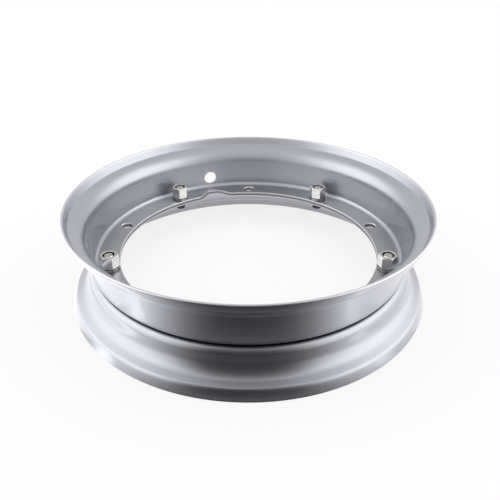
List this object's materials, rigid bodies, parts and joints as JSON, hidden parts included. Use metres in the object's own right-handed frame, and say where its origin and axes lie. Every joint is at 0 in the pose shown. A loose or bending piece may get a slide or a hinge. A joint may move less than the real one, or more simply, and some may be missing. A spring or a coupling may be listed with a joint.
{
  "type": "wheel rim",
  "caption": "Split pressed-steel wheel rim: dished halves bolted face to face on a flat ring, with tyre flanges, a valve hole and free holes for hub studs.",
  "frame": {"origin": "on the wheel axis, at the level of the floor that the inner half's lip rests on", "axes": "+Z along the wheel axis from the shallow inner half to the deep outer half; the valve hole lies 108 degrees from +X towards +Y"},
  "size_m": [0.281, 0.281, 0.074],
  "materials": {
    "silver_paint": "smooth silver metallic paint, satin to glossy",
    "zinc_steel": "bright zinc plating"
  },
  "bodies": {
    "root": {"outer_half": "silver_paint", "inner_half": "silver_paint", "clamp_bolts": "zinc_steel", "spring_washers": "zinc_steel", "clamp_nuts": "zinc_steel"}
  },
  "joints": []
}
